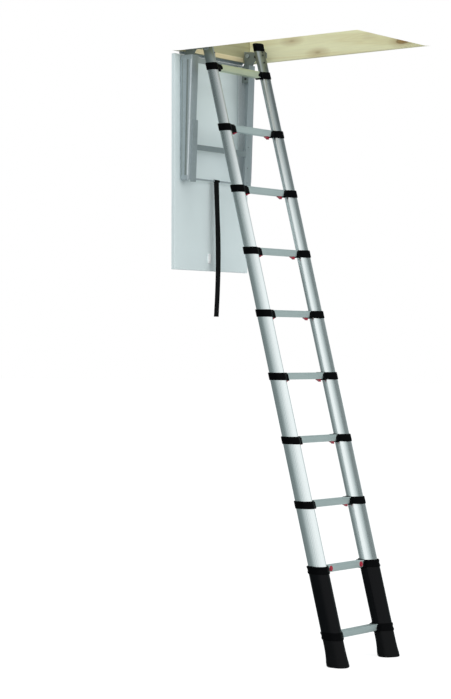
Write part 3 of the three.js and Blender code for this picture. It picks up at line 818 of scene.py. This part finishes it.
def build_tab(rung, side):
    """A red wedge under the rung's end, with a finger hollow in its lower face."""
    length, drop, blunt = TAB["length"], TAB["drop"], TAB["blunt"]
    outline = [
        (0, -1.0), (0.6, -0.1), (1.6, 0), (length - 1.2, 0), (length - 0.3, -0.4), (length, -1.4),
        (length, -blunt),
    ]
    for t in (0.85, 0.7, 0.5, 0.3, 0.15):
        hollow = 1.4 * math.sin(math.pi * t)
        outline.append((blunt + (length - blunt) * t, -drop + (drop - blunt) * t + hollow))
    outline += [(blunt, -drop), (1.2, -drop), (0.3, -drop + 0.5), (0, -drop + 1.4)]
    front = RUNG["front"] - TAB["setback"]
    back = front - TAB["depth"]
    top = -RUNG["height"] / 2 - TAB["gap"]
    inner = BOSS["end"] - TAB["side"]
    middle = Vector((length * 0.4, -drop * 0.42))
    loops = []
    for x, scale in ((back, 0.90), (back + 1.0, 1.0), (front - 1.0, 1.0), (front, 0.90)):
        ring = [middle + (Vector(p) - middle) * scale for p in outline]
        loops.append([(x, SIDES[side] * (inner - across), top + rise) for across, rise in ring])
    name = f"tab_{side}_{rung}"
    wedge = on_rung(rings(loops), rung_height(rung))
    make(f"{name}_moulding", wedge, name, "red", [f"release_{name}"], LADDER, 40)


# ---- feet and top caps
def build_feet():
    """Rubber boots, flared and beaded at the floor: (height, growth, shift forwards)."""
    levels = [
        (0.0, -1.0, -2.0), (0.0, 0.6, -2.0), (1.0, 2.4, -2.0), (3.0, 4.2, -2.0), (6.0, 5.0, -2.0),
        (9.0, 5.0, -2.0), (11.0, 4.6, -2.0), (12.0, 3.8, -2.0), (13.2, 3.8, -2.0), (14.2, 4.6, -2.0),
        (20.0, 4.3, -1.8), (30.0, 3.0, -1.4), (40.0, 2.0, -1.0), (55.0, 1.0, -0.6), (70.0, 0.35, -0.2),
        (85.0, 0.0, 0.0), (100.0, 0.0, 0.0), (SLEEVE_BOTTOM - 0.3, 0.0, 0.0),
    ]
    for side in SIDES:
        loops = []
        for rise, grow, forward in levels:
            points = [(u + forward, v) for u, v in stile_outline(1, side, grow)]
            loops.append(loop_at(points, side, rise))
        make(f"boot_{side}", rings(loops), "section_1", "rubber", [f"foot_{side}"], LADDER, 40)


def build_caps():
    """A lid on each stub, the cheek and pin that it tilts on, and three screws in its front."""
    low, top = STUB_TOP + 0.3, CAP_TOP
    lid = [
        (0.2, low), (1.0, low), (1.6, low + 0.8), (1.4, top - 9), (0.4, top - 4), (-2.0, top - 1.2),
        (-5.0, top), (-8.0, top),
    ]
    face = SPACING / 2 + half_width(TOP_SECTION, 0) + COLLAR["gap"]
    half, low, high = CHEEK["half"], CHEEK["low"], CAP_TOP - CHEEK["below_top"]
    outline = rounded(rectangle(-half, half, low, high), [8, 8, 2, 2])
    front = half_depth(TOP_SECTION)
    for side, sign in SIDES.items():
        node = f"top_cap_{side}"
        cap = rings(stile_loops(TOP_SECTION, side, lid))
        make(f"cap_{side}_moulding", cap, "section_9", "black", [node], LADDER, 40)
        cheek = extrude_y(outline, sign * face, sign * (face + CHEEK["thick"]))
        pin = headed_pin(face + 1, PLATE_OUTER + 1, 1, 8.7, 4.2, 0, TILT_ALONG)
        cheek = join_parts(cheek, on_side(pin, sign))
        make(f"cap_{side}_cheek", cheek, "section_9", "steel", [node], LADDER, bevel=0.4)
        for k, (aside, s) in enumerate(STUB_SCREWS, 1):
            head = screw_head("stub", front, sign * (SPACING / 2 + aside), s)
            make(f"stub_screw_{side}_{k}", head, "section_9", "dark_metal", [], LADDER)


# ---- casing and door
def build_casing():
    outer, inner, length = CASING_HALF, OPENING_HALF, CASING_LENGTH
    near, far = BOARD + BOARD_GAP, length - BOARD - BOARD_GAP
    for name, x0, x1, y0, y1 in (
        ("hinge", 0, BOARD, -outer, outer),
        ("far", length - BOARD, length, -outer, outer),
        ("left", near, far, -outer, -inner),
        ("right", near, far, inner, outer),
    ):
        board = block(x0, x1, y0, y1, CEILING, CEILING + BOARD_HEIGHT)
        node = f"casing_{name}_board"
        make(f"{node}_planed", board, "casing", f"pine_{name}", [node], bevel=1.2, segments=3)
    # a batten along the foot of the hinge board
    half = inner - BATTEN["short"]
    low, high = CEILING + BATTEN["low"], CEILING + BATTEN["high"]
    batten = block(near, BOARD + BATTEN["thick"], -half, half, low, high)
    make("hinge_board_batten", batten, "casing", "pine_batten", bevel=1.0)


def build_door():
    front, half, top = DOOR["front"], DOOR["half"], DOOR["top"]
    board = block(front - DOOR["thick"], front, -half, half, top - DOOR["long"], top)
    make("hatch_door_board", board, "door", "paint", ["hatch_door"], bevel=2.0, segments=4)
    # a small upright catch near the door's free edge
    low, side = top - DOOR["long"] + CATCH["low"], CATCH["half"]
    high, middle = low + CATCH["height"], low + CATCH["height"] / 2
    outline = rounded(rectangle(-side, side, low, high), 4)
    loops = []
    for out, across, up in ((0, 1.0, 1.0), (4.5, 1.0, 1.0), (6.2, 0.86, 0.94), (6.6, 0.7, 0.78)):
        loops.append([
            (front + out, CATCH["y"] + y * across, middle + (z - middle) * up) for y, z in outline
        ])
    make("door_catch", rings(loops), "door", "catch", angle=40)
    # door-side hinge leaf
    leaf = block(front, front + 1.6, -HINGE["half"], HINGE["half"], top - 26, top - 0.5)
    make("door_hinge_leaf", leaf, "door", "steel", bevel=0.5)


def build_hinge():
    """A piano hinge: knuckles on a pin, and the leaf that is fixed to the casing."""
    x, z, r, half = HINGE["x"], HINGE["z"], HINGE["radius"], HINGE["half"]
    pitch = 2 * half / HINGE["knuckles"]
    parts = []
    for k in range(HINGE["knuckles"]):
        a = -half + k * pitch + HINGE["gap"]
        b = -half + (k + 1) * pitch - HINGE["gap"]
        parts.append(turned(barrel(r, a, b, 0.6), "y", (x, 0, z), 24))
    parts.append(turned([(0, -half), (2.6, -half), (2.6, half), (0, half)], "y", (x, 0, z), 20))
    leaf_top = CEILING - 0.3
    parts.append(block(x, BOARD - 2, -half, half, leaf_top - 1.8, leaf_top))
    make("door_hinge_knuckles", join_parts(*parts), "casing", "steel", ["door_hinge"])


# ---- cradle
def rail_front(z):
    """The rails deepen towards the top: X of their front face at a height."""
    return RAIL["front"] + RAIL["taper"] * (z - RAIL["low"]) / (RAIL["high"] - RAIL["low"])


def front_bar(outline, edge=0.5):
    """A flat bar along the rails' front face, from an outline in Y and Z."""
    middle = sum((Vector(p) for p in outline), Vector((0, 0))) / len(outline)
    face = STRIP["thick"] - BAR_SUNK
    loops = []
    for out, inset in ((-BAR_SUNK, 0.0), (face - edge, 0.0), (face, edge)):
        loop = []
        for y, z in outline:
            toward = middle - Vector((y, z))
            y2 = y + math.copysign(min(inset, abs(toward.x)), toward.x)
            z2 = z + math.copysign(min(inset, abs(toward.y)), toward.y)
            loop.append((rail_front(z) + out, y2, z2))
        loops.append(loop)
    return rings(loops)


def build_cradle():
    for side, sign in SIDES.items():
        build_rail(side, sign)
        build_strip(side, sign)
        build_plate(side, sign)
    end = STRIP["inner"] + 1
    bar = front_bar(rectangle(-end, end, CROSSBAR["low"], CROSSBAR["high"]))
    make("cradle_crossbar", bar, "cradle", "bar_steel", ["cradle_frame"])
    reach = RAIL["outer"] - RAIL["wall"] + 0.5
    rod = turned(barrel(ROD["radius"], -reach, reach, 0.5), "y", (ROD["x"], 0, ROD["z"]), 28)
    make("cradle_pull_rod", rod, "cradle", "steel", ["cradle_frame"])


def build_rail(side, sign):
    """A tapering channel, open towards the ladder, with ribs rolled into its outer web."""
    back, wall, low, high = RAIL["back"], RAIL["wall"], RAIL["low"], RAIL["high"]
    outer, inner = RAIL["outer"], RAIL["outer"] - RAIL["width"]
    radii = [0.8, 4.0, 4.0, 0.8, 0.8, 1.6, 1.6, 0.8]
    loops = []
    for z in (low, high):
        front = rail_front(z)
        path = [
            (back, inner), (back, outer), (front, outer), (front, inner), (front - wall, inner),
            (front - wall, outer - wall), (back + wall, outer - wall), (back + wall, inner),
        ]
        loops.append([(x, sign * y, z) for x, y in rounded(path, radii, 5)])
    rail = make(f"cradle_rail_{side}", rings(loops), "cradle", "steel", ["cradle_frame"])
    # painted light: the back flange's face gets a paler, less metallic steel where its own reflection would
    # be dark
    rail.data.materials.append(MATERIALS["painted_light_steel"])
    for face in rail.data.polygons:
        if face.center.x < (back + wall + 1.0) * MM and abs(face.center.y) < (outer - wall) * MM:
            face.material_index = 1
    y = outer - 0.3
    for k, (depth, half, look) in enumerate(RIBS, 1):
        loops = []
        for z, out in ((low + 18, 0.0), (low + 24, 0.8), (high - 24, 0.8), (high - 18, 0.0)):
            x = back + (rail_front(z) - back) * depth
            loops.append([
                (x - half, sign * y, z), (x - half + 0.6, sign * (y + out), z),
                (x + half - 0.6, sign * (y + out), z), (x + half, sign * y, z),
            ])
        make(f"cradle_rib_{side}_{k}", rings(loops), "cradle", look)


def build_strip(side, sign):
    """The flat strip on the rail's inner edge, and the small rivets that hold it."""
    outline = rounded(rectangle(STRIP["inner"], STRIP["outer"], STRIP["low"], STRIP["high"]), 5)
    strip = front_bar([(sign * y, z) for y, z in outline])
    make(f"cradle_strip_{side}", strip, "cradle", "strip_steel", ["cradle_frame"])
    for k, z in enumerate(RIVETS, 1):
        head = screw_head("rivet", rail_front(z) + STRIP["thick"] - BAR_SUNK, sign * STRIP["rivets_y"], z)
        make(f"cradle_rivet_{side}_{k}", head, "cradle", "steel" if side == "left" else "dark_metal")


def build_plate(side, sign):
    """The pivot plate inside the rail's top, reaching out to the ladder, and its bolts."""
    inner, top, wall = PLATE["inner"], RAIL["high"], RAIL["wall"]
    low_x, low_z = RAIL["back"] + wall - 0.5, top - PLATE["foot"]
    outline = [
        (low_x, low_z), (rail_front(low_z) - wall + 0.5, low_z), (rail_front(top) - wall + 0.5, top),
        (88, 2739), (149, 2739), (158, 2748), (158, 2769), (149, 2778), (100, 2778), (64, 2783),
        (34, 2783), (29, 2776), (29, 2732), (low_x, top - 9),
    ]
    outline = rounded(outline, [0, 0, 10, 12, 8, 8, 8, 8, 20, 9, 6, 4, 5, 0])
    plate = extrude_y(outline, sign * inner, sign * PLATE_OUTER)
    make(f"cradle_plate_{side}", plate, "cradle", "dull_steel", ["cradle_frame"], bevel=0.5)
    profile = [
        (0, inner + 0.5), (6.2, inner + 0.5), (6.2, inner - 1.6), (5.4, inner - 2.6),
        (2.6, inner - 3.0), (0, inner - 3.0),
    ]
    for k, (x, z) in enumerate(PLATE_BOLTS, 1):
        head = on_side(turned(profile, "y", (x, 0, z), 24), sign)
        make(f"cradle_bolt_{side}_{k}", head, "cradle", "dark_metal")


def build_brackets():
    """Angle brackets on the hinge board, each with the pin that the cradle swings on."""
    face, near = BOARD + BOARD_GAP, PLATE_OUTER + EAR["gap"]
    thick, x, z = EAR["thick"], PIVOT["x"], PIVOT["z"]
    low, high = z - EAR["low"], z + EAR["high"]
    outline = rounded([
        (face, low), (x + 6, z - 18), (x + 17, z - 8.5), (x + 17, z + 8.5), (x + 6, z + 17), (face, high),
    ], [0, 6, 8, 8, 6, 0])
    for side, sign in SIDES.items():
        ear = extrude_y(outline, sign * near, sign * (near + thick))
        flange = block(face, face + thick, sign * near, sign * (near + EAR["flange"]), low, high)
        pin = on_side(headed_pin(near + 1, PLATE["inner"] - 3, -1, 8.6, 4.4, x, z), sign)
        angle = join_parts(ear, flange, pin)
        make(f"bracket_{side}_angle", angle, "casing", "steel", [f"pivot_bracket_{side}"], bevel=0.5)
        for k, (dy, dz) in enumerate(((18, -10), (28, 14)), 1):
            head = screw_head("bracket", face + thick, sign * (near + dy), z + dz)
            make(f"bracket_screw_{side}_{k}", head, "casing", "dark_metal")


# ---- strap
def strap_route(count=30):
    """Middle line of the hanging tail, from the pull rod down, in millimetres."""
    top = ROD["z"] - ROD["radius"] - 1.5
    points = []
    for k in range(count + 1):
        t = k / count
        bow = STRAP["bow"] * math.sin(math.pi * t ** 1.2)
        points.append((ROD["x"] + bow, top + (STRAP["bottom"] - top) * t))
    return points


def strap_tail(route, cross=12):
    """The hanging tail, thinner towards its edges, and double where it is sewn to itself."""
    half, thick = STRAP["width"] / 2, STRAP["thick"]
    last = len(route) - 1
    across = [-half + 2 * half * i / cross for i in range(cross + 1)]
    loops = []
    for k, (x, z) in enumerate(route):
        t = k / last
        h = thick if t < STRAP["double"] else thick / 2
        ahead = Vector(route[min(k + 1, last)]) - Vector(route[max(k - 1, 0)])
        side = Vector((-ahead.y, ahead.x)).normalized()
        section = [(y, h * (1 - 0.55 * abs(y / half) ** 6)) for y in across]
        section += [(y, -lift) for y, lift in section[::-1]]
        width = 1.0 - 0.02 * math.sin(9 * t)
        loops.append([(x - side.x * lift, y * width, z - side.y * lift) for y, lift in section])
    return rings(loops)


def build_strap():
    half, thick = STRAP["width"] / 2, STRAP["thick"]
    route = strap_route()
    inner, outer = ROD["radius"] + 0.5, ROD["radius"] + 0.5 + thick
    round_rod = turned([
        (inner, -half + 0.4), (inner, half - 0.4), (inner + 0.5, half), (outer - 0.5, half),
        (outer, half - 0.5), (outer, -half + 0.5), (outer - 0.5, -half), (inner + 0.5, -half),
    ], "y", (ROD["x"], 0, ROD["z"]), 40, closed=True)
    strap = join_parts(strap_tail(route), round_rod)
    piece = make("pull_strap_webbing", strap, "cradle", "webbing", ["pull_strap"], angle=50)
    piece.visible_shadow = False
    # stitching across the doubled end
    stitches = []
    for row in range(STITCHES["rows"]):
        k = (STITCHES["first"] + STITCHES["step"] * row) * (len(route) - 1)
        a, b = Vector(route[int(k)]), Vector(route[int(k) + 1])
        x, z = a + (b - a) * (k - int(k))
        for i in range(STITCHES["across"]):
            y = -half + 4 + i * (2 * half - 8) / (STITCHES["across"] - 1)
            stitches.append(block(x + thick - 0.1, x + thick + 0.35, y - 1.1, y + 1.1, z - 0.4, z + 0.4))
    make("strap_stitching", join_parts(*stitches), "cradle", "webbing")


# ---- camera, stage, light
def build_camera():
    data = bpy.data.cameras.new("camera")
    camera = linked("camera", data)
    data.sensor_width = 36.0
    data.lens = 103.34
    data.clip_end = 200.0
    yaw, pitch, roll = math.radians(37.04), math.radians(0.12), math.radians(0.06)
    forward = Vector((-math.sin(yaw) * math.cos(pitch), math.cos(yaw) * math.cos(pitch), math.sin(pitch)))
    turn = forward.to_track_quat("-Z", "Y").to_matrix() @ Matrix.Rotation(roll, 3, "Z")
    camera.matrix_world = Matrix.Translation((5.691, -7.426, -1.450)) @ turn.to_4x4()
    bpy.context.scene.camera = camera


def backdrop(name, points, mat):
    """One flat face that is part of the stage, and not of the object."""
    mesh = bpy.data.meshes.new(name)
    mesh.from_pydata(points, [], [tuple(range(len(points)))])
    mesh.materials.append(mat)
    made = linked(name, mesh)
    made.visible_glossy = False
    return made


def build_floor(side=70.0):
    z = -FLOOR * MM - 0.0005
    mat, graph = fresh("pale_floor")
    is_camera = graph.add("LightPath").outputs["Is Camera Ray"]
    graph.principled({
        "Base Color": graph.ramp(graph.noise(graph.coords(), 3.0), [(0.3, 0.29), (0.7, 0.31)]),
        "Roughness": 1.0,
        "Specular IOR Level": 0.0,
        "Emission Color": (1, 1, 1, 1),
        "Emission Strength": graph.spread(is_camera, 0.25, 0.87, (0.0, 1.0)),
    })
    backdrop("floor", [(-side, -side, z), (side, -side, z), (side, side, z), (-side, side, z)], mat)


def build_ceiling():
    """The ceiling's plain underside, where it hides the casing's outer faces from the camera.

    Its outline is worked out for the camera's place, and it is clear from above, so it fits the
    main view only. It is part of the stage. The object doesn't depend on it.
    """
    z = (CEILING - 0.5 - FLOOR) * MM
    eye = bpy.context.scene.camera.matrix_world.translation
    high = (CEILING + BOARD_HEIGHT - FLOOR) * MM
    share = (high - z) / (high - eye.z) + 0.003

    def nearer(x, y):
        """Where the line from a point on the casing's upper edge to the eye meets the ceiling."""
        return x + (eye.x - x) * share, y + (eye.y - y) * share

    length, inner, outer = CASING_LENGTH, OPENING_HALF, CASING_HALF
    corners = [(0, -outer), (length, -outer), (length, outer)]
    shade = [nearer(x * MM, y * MM) for x, y in corners]
    edge = [
        (0, -outer), (BOARD, -inner), (length - BOARD, -inner), (length - BOARD, inner), (length, outer),
    ]
    points = [(x * MM, y * MM) for x, y in edge] + shade[::-1]
    mat, graph = fresh("ceiling_underside")
    above = graph.add("NewGeometry").outputs["Backfacing"]
    glow, clear = graph.add("Emission").outputs[0], graph.add("BsdfTransparent").outputs[0]
    pick = graph.add("MixShader", {0: above, 1: glow, 2: clear}).outputs[0]
    graph.add("OutputMaterial", {0: pick})
    ceiling = backdrop("ceiling", [(x, y, z) for x, y in points], mat)
    ceiling.visible_shadow = False
    ceiling.visible_diffuse = False
    ceiling.visible_transmission = False


# the room's brightness, by degrees round it from +X
ROOM = (
    (-180, 0.20), (-150, 0.22), (-132, 0.27), (-116, 0.44), (-96, 0.76), (-78, 0.98), (-56, 1.08),
    (-20, 1.08), (10, 1.08), (24, 0.92), (36, 0.62), (50, 0.44), (80, 0.44), (100, 0.50),
    (126, 0.50), (150, 0.40), (180, 0.20),
)


def teal(value):
    """The studio's darker parts lean towards teal."""
    lean = max(0.0, 1.0 - value)
    return value * (1 - 0.16 * lean), value * (1.01 + 0.04 * lean), value * (1.015 + 0.04 * lean)


def build_world():
    """Plain white to the camera; the room's brightness as light and in reflections."""
    world = bpy.data.worlds.new("studio")
    bpy.context.scene.world = world
    world.use_nodes = True
    graph = Graph(world.node_tree)
    x, y, _ = graph.axes(graph.add("TexCoord").outputs["Generated"])
    turn = graph.spread(graph.calc("ARCTAN2", y, x), 0.0, 1.0, (-math.pi, math.pi))
    tone = graph.ramp(turn, [((angle + 180) / 360, teal(value)) for angle, value in ROOM])
    lit = graph.add("Background", {0: tone, 1: 1.0}).outputs[0]
    seen = graph.add("Background", {0: (1, 1, 1, 1), 1: 1.0}).outputs[0]
    is_camera = graph.add("LightPath").outputs["Is Camera Ray"]
    pick = graph.add("MixShader", {0: is_camera, 1: lit, 2: seen}).outputs[0]
    graph.add("OutputWorld", {0: pick})


def area_light(name, place, target, power, width, height):
    data = bpy.data.lights.new(name, "AREA")
    data.energy = power
    data.shape = "RECTANGLE"
    data.size, data.size_y = width, height
    lamp = linked(name, data)
    lamp.visible_glossy = False
    direction = Vector(target) - Vector(place)
    lamp.matrix_world = Matrix.Translation(place) @ direction.to_track_quat("-Z", "Y").to_matrix().to_4x4()


def build_lights():
    area_light("key", (5.5, 0.5, 0.9), (0.4, 0.0, -1.4), 60, 4.0, 4.4)
    area_light("fill", (1.5, -6.0, 0.2), (0.4, 0.0, -1.3), 60, 4.5, 4.5)
    area_light("top", (0.5, -0.5, 2.6), (0.5, 0.0, -1.2), 20, 2.0, 2.0)


build_camera()
build_strap()
build_stiles()
build_steps()
build_controls()
build_feet()
build_caps()
build_casing()
build_door()
build_hinge()
build_cradle()
build_brackets()
build_floor()
build_ceiling()
build_world()
build_lights()

bpy.context.scene.view_settings.view_transform = "Standard"
